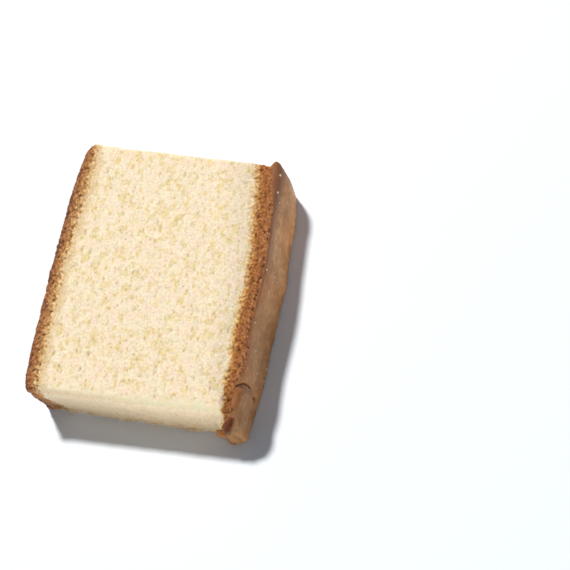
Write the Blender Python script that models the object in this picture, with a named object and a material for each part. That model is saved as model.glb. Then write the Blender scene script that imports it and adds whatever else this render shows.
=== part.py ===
"""A thick slice of plain sponge cake, lying on one of its two wide cut faces.

X runs from the baked bottom crust to the smooth top skin, Y along the cake, Z up from the
face it lies on to the other wide cut face. The origin is the middle of the underside.
Lengths are metres. A share is a fraction of a side: 0 at its start and 1 at its end. A pair
of numbers called an edge or a rise is where a smooth change starts and where it ends.
"""

import math

import bmesh
import bpy
from mathutils import Matrix, Vector, noise

MM = 0.001

# Driving dimensions
RISE = 74 * MM  # bottom crust to top skin, at the ends of the slice
LENGTH = 100 * MM  # between the two end cuts
THICKNESS = 25 * MM  # between the two wide cut faces
EDGE_RADIUS = 1.1 * MM  # worn edges of the soft crumb

# Edges that are rounded otherwise: the two faces that meet there, each as the axis it cuts
# and whether it is at that axis's far end, and the radius
X, Y, Z = range(3)
ROLLS = {
    ((Y, False), (Z, True)): 5.5 * MM,  # the near cut's upper edge
    ((X, False), (Y, False)): 0.5 * MM,  # between bottom crust and near cut
    ((X, True), (Y, False)): 2.5 * MM,  # down the flap's end, between near cut and skin
    ((X, True), (Y, True)): 2.2 * MM,  # between far cut and skin
    ((X, True), (Z, True)): 2.0 * MM,  # where the skin meets the shown face
}

# How the bottom crust departs from a plain block
CRUST_BOW = 3.3 * MM  # it stands out this far in the middle
CRUST_FULLNESS = (1.9, 5.5)  # how squarely it bows, towards the near end and towards the far end
CRUST_FLARE = 1.2 * MM  # and it stands out this much more at the near end
CRUST_FLARE_FROM = 0.32  # share along the slice where that starts

# How the top skin does
DOME = 3.6 * MM  # it stands out this far in the middle
DOME_FULLNESS = 2.2
SKIN_LEAN = 3.0 * MM  # it is this much further out at the underside
# Its swells: share along the slice, share up it, height, and reach in shares along and up
SWELLS = (
    (0.60, 0.10, 0.9 * MM, 0.07, 0.6),
    (0.86, 0.15, 1.6 * MM, 0.10, 0.6),
    (0.97, 0.60, 2.1 * MM, 0.08, 0.6),
    (0.34, 0.60, -1.0 * MM, 0.10, 0.6),
    (0.16, 0.60, 0.9 * MM, 0.09, 0.5),
)

# How the two end cuts do
NEAR_UNDERCUT = 2.2 * MM  # the near cut is drawn in this far under the bottom crust
NEAR_OVERHANG = 0.8 * MM  # and stands out this far under the skin
FAR_PROUD = 2.4 * MM  # the far cut lies this far past LENGTH at the bottom crust
FAR_SLANT = 4.6 * MM  # and runs back this far towards the skin
FAR_LOW_SLANT = 0.55  # share of that slant at the underside
FAR_RIM = 2.6 * MM  # the skin stands this far past the far cut
FAR_RIM_FROM = 0.945  # share across the slice where that rim starts

# The notch beside that rim, where skin and crumb part
NOTCH_X = 71.6 * MM
NOTCH_HALF_WIDTH = 2.0 * MM
NOTCH_EDGE = (1.0, 0.1)  # shares of its half width
NOTCH_DEPTH = 3.0 * MM
NOTCH_RISE = (0.5, 0.9)  # shares up the slice

# The loose flap of skin at the near end: a raised oval lobe with a crease round its far side
FLAP_Y = 0.0 * MM
FLAP_Z = 15.0 * MM
FLAP_REACH_Y = 11.9 * MM
FLAP_REACH_Z = 12.6 * MM
FLAP_RAISE = 1.5 * MM
FLAP_EDGE = (1.05, 0.8)  # shares of its reach
CREASE_DEPTH = 1.0 * MM
CREASE_AT = 1.08  # share of the lobe's reach at the bottom of the crease
CREASE_WIDTH = 0.10  # as a share of the lobe's reach
CREASE_Y = (4.0 * MM, 8.0 * MM)  # the crease deepens between these places along the slice
CREASE_Z = (11.0 * MM, 15.0 * MM)  # and between these heights

# The flap's end, which hangs past the near cut
TONGUE_LENGTH = 3.8 * MM
TONGUE_WIDTH = 8.5 * MM  # from the skin inwards
TONGUE_EDGE = (1.0, 0.55)  # shares of that width
TONGUE_Z = 8.5 * MM
TONGUE_HALF_HEIGHT = 11.0 * MM
TONGUE_END = (1.15, 0.35)  # shares of that half height
TONGUE_ROOT = 9.0 * MM  # the skin is drawn out from this far along the slice

# The flap's upper edge, which curls down from the shown face
CURL_DROP = 0.09  # share of the height lost at the edge
CURL_WIDTH = 5.0 * MM  # from the skin inwards
CURL_Y = (8.5 * MM, 4.0 * MM)  # it starts and is whole at these places along the slice

# The hollow between flap and crumb, a leaning slot in the near cut
HOLLOW_X = 71.6 * MM
HOLLOW_Z = 13.0 * MM
HOLLOW_HALF_WIDTH = 2.3 * MM
HOLLOW_HALF_HEIGHT = 6.0 * MM
HOLLOW_EDGE = (1.3, 0.2)  # shares of its half width and half height
HOLLOW_LEAN = 0.30  # how far it leans towards the skin for each unit up
HOLLOW_DEPTH = 3.6 * MM

# Relief: depth and grain of each surface, which the bands along the crusts and the lower
# edges of the end cuts have coarser
CRUST_BAND = 6.5 * MM
SKIN_BAND = 6.5 * MM
LOW_BAND = 7.0 * MM
CRUMB_RELIEF = 0.25 * MM
BAND_RELIEF = 0.50 * MM
LOW_RELIEF = 1.10 * MM
CRUST_RELIEF = 0.42 * MM
SKIN_RELIEF = 0.24 * MM
CRUMB_GRAIN = 5.0 * MM
CRUST_GRAIN = 6.0 * MM
SKIN_GRAIN = 16.0 * MM
CRUMB_SEED, CRUST_SEED, SKIN_SEED = 11, 23, 37
OCTAVES = 2
OCTAVE_LOSS = 0.9  # the exponent by which a finer octave is weaker
OCTAVE_STEP = 2.0  # how much finer it is
SIDE_EDGE = (0.6, 0.9)  # a surface whose normal leans this much to a side belongs to it

# Divisions of the block, and how much closer they stand towards the flap
ACROSS = 38
ALONG = 48
UP = 14
CROWDING = 1.25
CUT_TOLERANCE = 1e-7

# Finishes: name, colour and roughness of each
CRUMB, BROWNED, CRUST, SKIN = range(4)
FINISHES = (
    ("crumb", (0.84, 0.67, 0.42, 1.0), 0.9),
    ("browned_crumb", (0.36, 0.145, 0.042, 1.0), 0.85),
    ("bottom_crust", (0.19, 0.075, 0.026, 1.0), 0.8),
    ("top_skin", (0.38, 0.205, 0.105, 1.0), 0.6),
)
BROWNED_WIDTH = 5.0 * MM  # how far the crumb is browned in from each crust
SHARP_EDGE = math.radians(50)


def smooth(start, end, value):
    """0 up to start, 1 from end on, and a smooth rise between them. Start may be above end."""
    share = min(1.0, max(0.0, (value - start) / (end - start)))
    return share * share * (3 - 2 * share)


def bell(distance):
    """1 at no distance, falling smoothly to nothing at about 2."""
    return math.exp(-distance * distance)


def crust_x(along):
    """Where the bottom crust lies at a share along the slice."""
    fullness = CRUST_FULLNESS[along > 0.5]
    bow = CRUST_BOW * (1 - abs(2 * along - 1) ** fullness)
    return -bow - CRUST_FLARE * smooth(CRUST_FLARE_FROM, 0, along)


def skin_x(along, up):
    """Where the top skin lies at shares along and up the slice."""
    x = RISE + DOME * (1 - abs(2 * along - 1) ** DOME_FULLNESS) + SKIN_LEAN * (1 - up)
    for at_along, at_up, height, reach_along, reach_up in SWELLS:
        x += height * bell(math.hypot((along - at_along) / reach_along, (up - at_up) / reach_up))
    return x


def near_y(across, up):
    """Where the near cut lies at shares across and up the slice."""
    fuller = 1 - (1 - across) ** 2
    return (1 - up) * (NEAR_UNDERCUT - (NEAR_UNDERCUT + NEAR_OVERHANG) * fuller)


def far_y(across, up):
    """Where the far cut lies at shares across and up the slice."""
    slant = FAR_SLANT * (FAR_LOW_SLANT + (1 - FAR_LOW_SLANT) * up)
    rim = FAR_RIM * up * smooth(FAR_RIM_FROM, 1, across)
    return LENGTH + FAR_PROUD - slant * across + rim


def form_point(across, along, up):
    """The point of the slice's smooth form at these shares."""
    x = crust_x(along) + (skin_x(along, up) - crust_x(along)) * across
    y = near_y(across, up) + (far_y(across, up) - near_y(across, up)) * along
    return Vector((x, y, THICKNESS * up))


def rolled(first, second, radius):
    """Distances from two faces that meet at an edge, once that edge is rounded to the radius."""
    deep = (max(0.0, radius - first), max(0.0, radius - second))
    if min(deep) == 0:
        return first, second
    share = max(deep) / math.hypot(*deep)
    return radius - deep[0] * share, radius - deep[1] * share


def worn_shares(place):
    """The shares of a point of the plain block, once the block's edges are rounded."""
    block = (RISE, LENGTH, THICKNESS)
    at_end = [p > side / 2 for p, side in zip(place, block)]
    gaps = [side - p if end else p for p, side, end in zip(place, block, at_end)]
    for first, second in ((X, Y), (X, Z), (Y, Z)):
        edge = ((first, at_end[first]), (second, at_end[second]))
        gaps[first], gaps[second] = rolled(gaps[first], gaps[second], ROLLS.get(edge, EDGE_RADIUS))
    return [1 - gap / side if end else gap / side for gap, side, end in zip(gaps, block, at_end)]


def flap_lift(point):
    """How far the skin stands out at a point of it for the flap, less the crease beside it."""
    away = math.hypot((point.y - FLAP_Y) / FLAP_REACH_Y, (point.z - FLAP_Z) / FLAP_REACH_Z)
    creased = smooth(*CREASE_Y, point.y) * smooth(*CREASE_Z, point.z)
    crease = CREASE_DEPTH * creased * bell((away - CREASE_AT) / CREASE_WIDTH)
    return FLAP_RAISE * smooth(*FLAP_EDGE, away) - crease


def tongue(point, inwards):
    """How far the flap's end is drawn out past the near cut, at that depth in from the skin."""
    upwards = abs(point.z - TONGUE_Z) / TONGUE_HALF_HEIGHT
    share = smooth(*TONGUE_EDGE, inwards / TONGUE_WIDTH) * smooth(*TONGUE_END, upwards)
    return TONGUE_LENGTH * share * smooth(TONGUE_ROOT, 0, point.y)


def curl(point, inwards):
    """The share of its height that a point loses where the flap's upper edge curls down."""
    return CURL_DROP * smooth(CURL_WIDTH, 0, inwards) * smooth(*CURL_Y, point.y)


def hollow(point):
    """How deep the slot between flap and crumb is at a point of the near cut."""
    up = point.z - HOLLOW_Z
    sideways = point.x - HOLLOW_X - HOLLOW_LEAN * up
    away = math.hypot(sideways / HOLLOW_HALF_WIDTH, up / HOLLOW_HALF_HEIGHT)
    return HOLLOW_DEPTH * smooth(*HOLLOW_EDGE, away)


def notch(point, up):
    """How deep the notch between skin and crumb is at a point of the far cut."""
    sideways = abs(point.x - NOTCH_X) / NOTCH_HALF_WIDTH
    return NOTCH_DEPTH * smooth(*NOTCH_EDGE, sideways) * smooth(*NOTCH_RISE, up)


def lumps(point, grain, seed):
    """Soft lumps of about that grain, from -1 to 1."""
    return noise.fractal(point / grain + Vector((seed, 0, 0)), OCTAVE_LOSS, OCTAVE_STEP, OCTAVES)


def relief(point, outward, inwards):
    """How far the surface stands out of the smooth form at a point with that normal."""
    crust_side = smooth(*SIDE_EDGE, -outward.x)
    skin_side = smooth(*SIDE_EDGE, outward.x)
    cut_side = 1 - max(crust_side, skin_side)
    band = max(smooth(CRUST_BAND, 0, point.x), smooth(SKIN_BAND, 0, inwards))
    low = smooth(LOW_BAND, 0, point.z)
    crumb_relief = CRUMB_RELIEF + (BAND_RELIEF - CRUMB_RELIEF) * band
    crumb_relief += (LOW_RELIEF - crumb_relief) * low
    out = cut_side * crumb_relief * lumps(point, CRUMB_GRAIN, CRUMB_SEED)
    out += crust_side * CRUST_RELIEF * lumps(point, CRUST_GRAIN, CRUST_SEED)
    out += skin_side * (SKIN_RELIEF * lumps(point, SKIN_GRAIN, SKIN_SEED) + flap_lift(point))
    return out


def stations(side, steps):
    """Places along one side of the block: both ends, and steps between its worn edges that stand
    closer together towards the start."""
    between = side - 2 * EDGE_RADIUS
    inner = [EDGE_RADIUS + between * (step / steps) ** CROWDING for step in range(steps + 1)]
    return [0.0] + inner + [side]


def plain_block(xs, ys, zs):
    """A closed block from the origin, cut along a grid plane at each place between its ends. The
    flat middle of its underside is left as one face."""
    size = Matrix.Diagonal((xs[-1], ys[-1], zs[-1], 1))
    bm = bmesh.new()
    bmesh.ops.create_cube(bm, size=1, matrix=size @ Matrix.Translation((0.5, 0.5, 0.5)))
    for axis, places in enumerate((xs, ys, zs)):
        across = Vector([float(axis == other) for other in range(3)])
        for place in places[1:-1]:
            bmesh.ops.bisect_plane(
                bm, geom=bm.verts[:] + bm.edges[:] + bm.faces[:], dist=CUT_TOLERANCE,
                plane_co=across * place, plane_no=across)
    flat = [face for face in bm.faces if face.normal.z < -0.5 and on_the_flat(face.calc_center_median())]
    bmesh.ops.dissolve_faces(bm, faces=flat)
    for face in bm.faces:
        face.material_index = finish_of(face)
    return bm


def on_the_flat(place):
    """Whether a place of the block's underside lies inside its worn edges."""
    return all(EDGE_RADIUS < p < side - EDGE_RADIUS for p, side in zip(place.xy, (RISE, LENGTH)))


def finish_of(face):
    """Which finish a face of the plain block has."""
    if abs(face.normal.x) > 0.5:
        return SKIN if face.normal.x > 0 else CRUST
    x = face.calc_center_median().x
    return BROWNED if min(x, RISE - x) < BROWNED_WIDTH else CRUMB


def shape_slice(bm):
    """Turns the plain block into the slice."""
    near_cut = {vert for vert in bm.verts if vert.co.y < EDGE_RADIUS / 2}
    far_cut = {vert for vert in bm.verts if vert.co.y > LENGTH - EDGE_RADIUS / 2}
    base = {vert for vert in bm.verts if vert.co.z < EDGE_RADIUS / 2}
    shares = {vert: worn_shares(vert.co) for vert in bm.verts}
    for vert, share in shares.items():
        vert.co = form_point(*share)
    bm.normal_update()
    moved = {}
    for vert, (_, along, up) in shares.items():
        inwards = skin_x(along, up) - vert.co.x
        place = vert.co + vert.normal * relief(vert.co, vert.normal, inwards)
        place.y -= tongue(vert.co, inwards)
        place.z *= 1 - curl(vert.co, inwards)
        if vert in near_cut:
            place.y += hollow(vert.co)
        if vert in far_cut:
            place.y -= notch(vert.co, up)
        if vert in base:
            place.z = vert.co.z
        moved[vert] = place
    for vert, place in moved.items():
        vert.co = place


def centre_on_base(bm):
    """Moves the slice so that the origin is the middle of its underside."""
    xs = [vert.co.x for vert in bm.verts]
    ys = [vert.co.y for vert in bm.verts]
    middle = Vector(((min(xs) + max(xs)) / 2, (min(ys) + max(ys)) / 2, 0))
    bmesh.ops.translate(bm, verts=bm.verts, vec=-middle)


def plain_material(name, colour, roughness):
    """A Principled BSDF material of one colour."""
    material = bpy.data.materials.new(name)
    material.use_nodes = True
    shader = material.node_tree.nodes["Principled BSDF"]
    shader.inputs["Base Color"].default_value = colour
    shader.inputs["Roughness"].default_value = roughness
    shader.inputs["Metallic"].default_value = 0.0
    return material


def build():
    """Clears the scene and makes the slice."""
    for obj in list(bpy.data.objects):
        bpy.data.objects.remove(obj)
    towards_skin = [RISE - x for x in reversed(stations(RISE, ACROSS))]
    bm = plain_block(towards_skin, stations(LENGTH, ALONG), stations(THICKNESS, UP))
    shape_slice(bm)
    centre_on_base(bm)
    bmesh.ops.triangulate(bm, faces=bm.faces)
    mesh = bpy.data.meshes.new("sponge_slice")
    bm.to_mesh(mesh)
    bm.free()
    for name, colour, roughness in FINISHES:
        mesh.materials.append(plain_material(name, colour, roughness))
    mesh.shade_smooth()
    mesh.set_sharp_from_angle(angle=SHARP_EDGE)
    bpy.context.scene.collection.objects.link(bpy.data.objects.new("sponge_slice", mesh))


build()
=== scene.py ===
"""The looks of a thick slice of plain sponge cake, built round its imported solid.

The slice lies on one of its wide cut faces. X runs from the baked bottom crust to the smooth
top skin, Y along the cake and Z up, in metres. One fine closed mesh, of the same form as the
solid, carries the crumb, both crusts and the loose flap of skin. Geometry Nodes cut its pores,
tears and wrinkles, and set the loose crumbs that stick to it. A share is a fraction of a side,
0 at its start and 1 at its end; a pair of numbers called an edge or a rise is where a smooth
change starts and where it ends.
"""

import sys

import logging
import math
from dataclasses import dataclass
from enum import Enum
from functools import reduce
from itertools import product
from typing import Any

import bpy
import numpy as np
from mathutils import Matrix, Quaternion, Vector, noise
from mathutils.bvhtree import BVHTree
from mathutils.geometry import delaunay_2d_cdt


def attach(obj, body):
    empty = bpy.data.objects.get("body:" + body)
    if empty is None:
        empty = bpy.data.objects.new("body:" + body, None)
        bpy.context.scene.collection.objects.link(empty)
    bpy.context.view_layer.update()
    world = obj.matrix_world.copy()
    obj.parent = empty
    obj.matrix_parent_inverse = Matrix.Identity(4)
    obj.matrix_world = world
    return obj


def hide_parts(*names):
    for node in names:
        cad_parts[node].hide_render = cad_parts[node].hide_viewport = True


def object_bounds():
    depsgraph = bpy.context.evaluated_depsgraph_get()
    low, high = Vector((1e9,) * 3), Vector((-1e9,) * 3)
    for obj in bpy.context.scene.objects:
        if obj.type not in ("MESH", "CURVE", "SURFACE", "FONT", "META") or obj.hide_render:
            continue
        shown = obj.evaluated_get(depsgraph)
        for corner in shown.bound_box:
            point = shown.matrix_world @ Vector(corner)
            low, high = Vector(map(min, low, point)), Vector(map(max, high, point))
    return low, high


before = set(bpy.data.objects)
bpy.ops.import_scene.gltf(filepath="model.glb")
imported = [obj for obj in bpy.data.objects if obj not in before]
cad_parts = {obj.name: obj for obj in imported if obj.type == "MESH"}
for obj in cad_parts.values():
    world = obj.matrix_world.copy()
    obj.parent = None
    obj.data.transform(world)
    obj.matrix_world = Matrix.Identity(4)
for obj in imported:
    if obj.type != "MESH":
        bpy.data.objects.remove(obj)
CAD_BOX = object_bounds()

MM = 0.001
NODE = "sponge_slice"
BODY = "root"
LOG = logging.getLogger("slice")
X, Y, Z = range(3)

FINE = 3.0  # the detail of a finely broken-up noise
LEAST_PORE = 0.45  # the smallest pore's radius, as a share of the widest's
LUMP_LAYERS = (0.9, 2.0, 2)  # lumps within lumps: how fast they fade, how much finer each layer is, how many
INSIDE = 1  # the kind of triangulation that fills an outline

Array = np.ndarray
Socket = bpy.types.NodeSocket
Piece, Mesh, Material = bpy.types.Object, bpy.types.Mesh, bpy.types.Material
Triple = tuple[float, float, float]
Colour = Triple
Pair = tuple[float, float]
Scale = tuple[tuple[float, Colour], ...]
Faces = list[list[int]]
Number = float | Socket
Look = tuple[Socket, Number, Number]


class Side(Enum):
    """The sides of the slice that look different, with the name of each side's finish."""

    CUT = "crumb"
    CRUST = "bottom_crust"
    SKIN = "top_skin"


Finishes = dict[Side, Material]


def smooth(start: float, end: float, value: Array) -> Array:
    """A smooth rise from 0 where value is start, which may lie above end, to 1 where it is end."""
    share = np.clip((value - start) / (end - start), 0, 1)
    return share * share * (3 - 2 * share)


def bell(distance: Array) -> Array:
    """1 at no distance, falling smoothly to nothing at about 2."""
    return np.exp(-distance * distance)


def lumps(points: Array, grain: float, seed: int) -> Array:
    """Soft lumps about as large as grain, from -1 to 1, at each point; the seed moves them."""
    moved = points / grain + (seed, 0, 0)
    return np.array([noise.fractal(place, *LUMP_LAYERS) for place in moved.tolist()])


def even(start: float, end: float, step: float) -> Array:
    """Places from start to end, both included, about a step apart."""
    return np.linspace(start, end, round((end - start) / step) + 1)


def rolled(first: Array, second: Array, radius: float) -> tuple[Array, Array]:
    """Rounds an edge.

    Args:
        first: distances from one of the two faces that meet there.
        second: distances from the other.
        radius: the edge's radius.

    Returns:
        Both distances once the edge is rounded.
    """
    deep = np.maximum(0, radius - np.stack((first, second)))
    both = deep.min(axis=0) > 0
    share = deep.max(axis=0) / np.where(both, np.hypot(*deep), 1)
    return tuple(np.where(both, radius - deep * share, (first, second)))


@dataclass(frozen=True)
class Flap:
    """The loose flap of skin at the near end: a raised lobe whose end hangs past the near cut."""

    y: float = 0.0
    z: float = 15.0 * MM
    reach_y: float = 11.9 * MM
    reach_z: float = 12.6 * MM
    raised: float = 1.5 * MM
    edge: Pair = (1.05, 0.8)
    crease_depth: float = 1.0 * MM
    crease_at: float = 1.08
    crease_width: float = 0.038
    crease_y: Pair = (4.0 * MM, 8.0 * MM)
    crease_z: Pair = (11.0 * MM, 15.0 * MM)

    tongue_length: float = 3.8 * MM
    tongue_width: float = 8.5 * MM
    tongue_edge: Pair = (1.0, 0.55)
    tongue_z: float = 8.5 * MM
    tongue_half_height: float = 11.0 * MM
    tongue_end: Pair = (1.15, 0.35)
    tongue_root: float = 9.0 * MM

    curl_drop: float = 0.09
    curl_width: float = 5.0 * MM
    curl_y: Pair = (8.5 * MM, 4.0 * MM)

    pit_y: float = 11.4 * MM
    pit_z: float = 7.0 * MM
    pit_slant: float = 0.5
    pit_size: Pair = (0.90 * MM, 2.0 * MM)

    def away(self, points: Array) -> Array:
        """How far points of the skin lie from the lobe's middle, as shares of its reach."""
        return np.hypot((points[:, Y] - self.y) / self.reach_y, (points[:, Z] - self.z) / self.reach_z)

    def crease(self, points: Array) -> Array:
        """How deep points lie in the crease round the lobe's far side or in the pit below it.

        Args:
            points: points of the skin.

        Returns:
            The depth, from 0 to 1.
        """
        y, z = points[:, Y], points[:, Z]
        creased = smooth(*self.crease_y, y) * smooth(*self.crease_z, z)
        beside = y - self.pit_y + self.pit_slant * (z - self.pit_z)
        pit = bell(np.hypot(beside / self.pit_size[0], (z - self.pit_z) / self.pit_size[1]))
        return np.maximum(creased * bell((self.away(points) - self.crease_at) / self.crease_width), pit)

    def lift(self, points: Array) -> Array:
        """How far the skin stands out for the lobe, less the crease beside it."""
        return self.raised * smooth(*self.edge, self.away(points)) - self.crease_depth * self.crease(points)

    def tongue(self, points: Array, inwards: Array) -> Array:
        """How far the flap's end is drawn out past the near cut."""
        upwards = np.abs(points[:, Z] - self.tongue_z) / self.tongue_half_height
        share = smooth(*self.tongue_edge, inwards / self.tongue_width) * smooth(*self.tongue_end, upwards)
        return self.tongue_length * share * smooth(self.tongue_root, 0, points[:, Y])

    def curl(self, points: Array, inwards: Array) -> Array:
        """The share of height lost where the flap's upper edge curls down."""
        return self.curl_drop * smooth(self.curl_width, 0, inwards) * smooth(*self.curl_y, points[:, Y])


@dataclass(frozen=True)
class SkinEdge:
    """Where the skin ends: it turns onto the wide cut face at both ends, and is worn away in between."""

    blur: float = 0.25 * MM
    near_wrap: float = 0.7 * MM
    near_y: Pair = (9.5 * MM, 7.5 * MM)
    far_wrap: float = 2.6 * MM
    far_y: Pair = (74 * MM, 95 * MM)
    front: float = 0.8 * MM
    front_low: float = 7.4 * MM
    front_z: Pair = (19.5 * MM, 9.0 * MM)
    worn_z: Pair = (22.4 * MM, 23.2 * MM)
    worn_from: Pair = (13 * MM, 16 * MM)
    worn_to: Pair = (30 * MM, 26 * MM)

    def skinned(self, points: Array, inwards: Array, near: Array, skin: Array) -> Array:
        """How much of the surface is skin.

        Args:
            points: points of the smooth form.
            inwards: how far each lies in from the top skin.
            near: how much each belongs to the near cut.
            skin: how much each faces as the top skin does.

        Returns:
            The share, from 0 to 1.
        """
        y, z = points[:, Y], points[:, Z]
        wrap = self.near_wrap * smooth(*self.near_y, y) + self.far_wrap * smooth(*self.far_y, y)
        front = near * (self.front + (self.front_low - self.front) * smooth(*self.front_z, z))
        turned = smooth(self.blur, -self.blur, inwards - np.maximum(wrap * (1 - near), front))
        worn = smooth(*self.worn_z, z) * smooth(*self.worn_from, y) * smooth(*self.worn_to, y)
        return np.maximum(skin, turned) * (1 - worn)


@dataclass(frozen=True)
class Lip:
    """The browned ledge at the foot of the near cut, beside the flap."""

    x: float = 69.4 * MM
    half_width: float = 4.0 * MM
    edge: Pair = (1.15, 0.85)
    height: float = 3.2 * MM
    out: float = 0.9 * MM
    out_from: Pair = (0.42, 0.62)

    def share(self, points: Array) -> Array:
        """How much points belong to the ledge: 1 at its foot, falling to 0 above it and beside it."""
        sideways = np.abs(points[:, X] - self.x) / self.half_width
        return smooth(*self.edge, sideways) * np.clip(1 - points[:, Z] / (2 * self.height), 0, 1)

    def reach(self, points: Array) -> Array:
        """How far the ledge stands out."""
        return self.out * smooth(*self.out_from, self.share(points))


@dataclass(frozen=True)
class Hollow:
    """The leaning slot in the near cut, between flap and crumb."""

    x: float = 71.8 * MM
    z: float = 14.0 * MM
    half_width: float = 1.7 * MM
    half_height: float = 5.2 * MM
    edge: Pair = (1.3, 0.2)
    lean: float = 0.42
    depth: float = 3.6 * MM

    def open(self, points: Array) -> Array:
        """How open the slot is, from 0 beside it to 1 in its middle."""
        up = points[:, Z] - self.z
        sideways = points[:, X] - self.x - self.lean * up
        return smooth(*self.edge, np.hypot(sideways / self.half_width, up / self.half_height))


@dataclass(frozen=True)
class Notch:
    """The notch in the far cut, where skin and crumb part."""

    x: float = 71.6 * MM
    half_width: float = 2.0 * MM
    edge: Pair = (1.0, 0.1)
    depth: float = 3.0 * MM
    rise: Pair = (0.5, 0.9)
    root: float = 3.5 * MM

    def open(self, points: Array, up: Array, length: float) -> Array:
        """How open the notch is at points and their shares up the slice, 1 in its middle."""
        sideways = np.abs(points[:, X] - self.x) / self.half_width
        return smooth(*self.edge, sideways) * smooth(*self.rise, up) * smooth(
            length - self.root, length, points[:, Y])


@dataclass(frozen=True)
class SliceForm:
    """The slice's form as functions of shares of a plain block, as its solid has it."""

    rise: float = 74 * MM
    length: float = 100 * MM
    thickness: float = 25 * MM
    edge_radius: float = 1.1 * MM
    rolls: tuple[tuple[int, bool, int, bool, float], ...] = (
        (Y, False, Z, True, 5.5 * MM),
        (X, False, Y, False, 0.5 * MM),
        (X, True, Y, False, 2.5 * MM),
        (X, True, Y, True, 2.2 * MM),
        (X, True, Z, True, 2.0 * MM),
    )

    crust_bow: float = 3.3 * MM
    crust_fullness: Pair = (1.9, 5.5)
    crust_flare: float = 1.2 * MM
    crust_flare_from: float = 0.32
    dome: float = 3.6 * MM
    dome_fullness: float = 2.2
    skin_lean: float = 3.0 * MM
    swells: tuple[tuple[float, ...], ...] = (
        (0.60, 0.10, 0.9 * MM, 0.07, 0.6),
        (0.86, 0.15, 1.6 * MM, 0.10, 0.6),
        (0.97, 0.60, 2.1 * MM, 0.08, 0.6),
        (0.34, 0.60, -1.0 * MM, 0.10, 0.6),
        (0.16, 0.60, 0.9 * MM, 0.09, 0.5),
    )

    near_undercut: float = 2.2 * MM
    near_overhang: float = 0.8 * MM
    far_proud: float = 2.4 * MM
    far_slant: float = 4.6 * MM
    far_low_slant: float = 0.55
    far_rim: float = 2.6 * MM
    far_rim_from: float = 0.945

    flap: Flap = Flap()
    lip: Lip = Lip()
    hollow: Hollow = Hollow()
    notch: Notch = Notch()
    skin_edge: SkinEdge = SkinEdge()

    crust_band: float = 6.5 * MM
    skin_band: float = 6.5 * MM
    low_band: float = 7.0 * MM
    crumb_relief: float = 0.25 * MM
    band_relief: float = 0.50 * MM
    low_relief: float = 1.10 * MM
    crust_relief: float = 0.42 * MM
    skin_relief: float = 0.24 * MM
    crumb_grain: float = 5.0 * MM
    crust_grain: float = 6.0 * MM
    skin_grain: float = 16.0 * MM
    seeds: tuple[int, int, int] = (11, 23, 37)
    side_edge: Pair = (0.6, 0.9)

    def crust_x(self, along: Array) -> Array:
        """Where the bottom crust lies at shares along the slice."""
        fullness = np.where(along > 0.5, self.crust_fullness[1], self.crust_fullness[0])
        bow = self.crust_bow * (1 - np.abs(2 * along - 1) ** fullness)
        return -bow - self.crust_flare * smooth(self.crust_flare_from, 0, along)

    def skin_x(self, along: Array, up: Array) -> Array:
        """Where the top skin lies at shares along and up the slice.

        Args:
            along: the shares along it.
            up: the shares up it.

        Returns:
            The places across it.
        """
        x = self.rise + self.dome * (1 - np.abs(2 * along - 1) ** self.dome_fullness)
        x = x + self.skin_lean * (1 - up)
        for at_along, at_up, height, reach_along, reach_up in self.swells:
            x = x + height * bell(np.hypot((along - at_along) / reach_along, (up - at_up) / reach_up))
        return x

    def near_y(self, across: Array, up: Array) -> Array:
        """Where the near cut lies at shares across and up the slice."""
        fuller = 1 - (1 - across) ** 2
        return (1 - up) * (self.near_undercut - (self.near_undercut + self.near_overhang) * fuller)

    def far_y(self, across: Array, up: Array) -> Array:
        """Where the far cut lies at shares across and up the slice."""
        slant = self.far_slant * (self.far_low_slant + (1 - self.far_low_slant) * up)
        rim = self.far_rim * up * smooth(self.far_rim_from, 1, across)
        return self.length + self.far_proud - slant * across + rim

    def worn_shares(self, places: Array) -> Array:
        """The shares of points of the plain block, once the block's edges are rounded.

        Args:
            places: points of the block, in metres.

        Returns:
            Each point's shares across, along and up it.
        """
        block = np.array((self.rise, self.length, self.thickness))
        at_end = places > block / 2
        gaps = np.where(at_end, block - places, places)
        radii = {edge[:4]: edge[4] for edge in self.rolls}
        for first, second in ((X, Y), (X, Z), (Y, Z)):
            for ends in product((False, True), repeat=2):
                radius = radii.get((first, ends[0], second, ends[1]), self.edge_radius)
                here = (at_end[:, first] == ends[0]) & (at_end[:, second] == ends[1])
                gaps[here, first], gaps[here, second] = rolled(gaps[here, first], gaps[here, second], radius)
        return np.where(at_end, 1 - gaps / block, gaps / block)

    def smooth_points(self, shares: Array) -> Array:
        """The points of the slice's smooth form at shares across, along and up it.

        Args:
            shares: the shares, one row for each point.

        Returns:
            The points.
        """
        across, along, up = shares.T
        crust = self.crust_x(along)
        near = self.near_y(across, up)
        x = crust + (self.skin_x(along, up) - crust) * across
        y = near + (self.far_y(across, up) - near) * along
        return np.stack((x, y, self.thickness * up), axis=1)

    def facing(self, normals: Array) -> dict[Side, Array]:
        """How much points with those normals belong to each side."""
        crust = smooth(*self.side_edge, -normals[:, X])
        skin = smooth(*self.side_edge, normals[:, X])
        return {Side.CUT: 1 - np.maximum(crust, skin), Side.CRUST: crust, Side.SKIN: skin}

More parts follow.
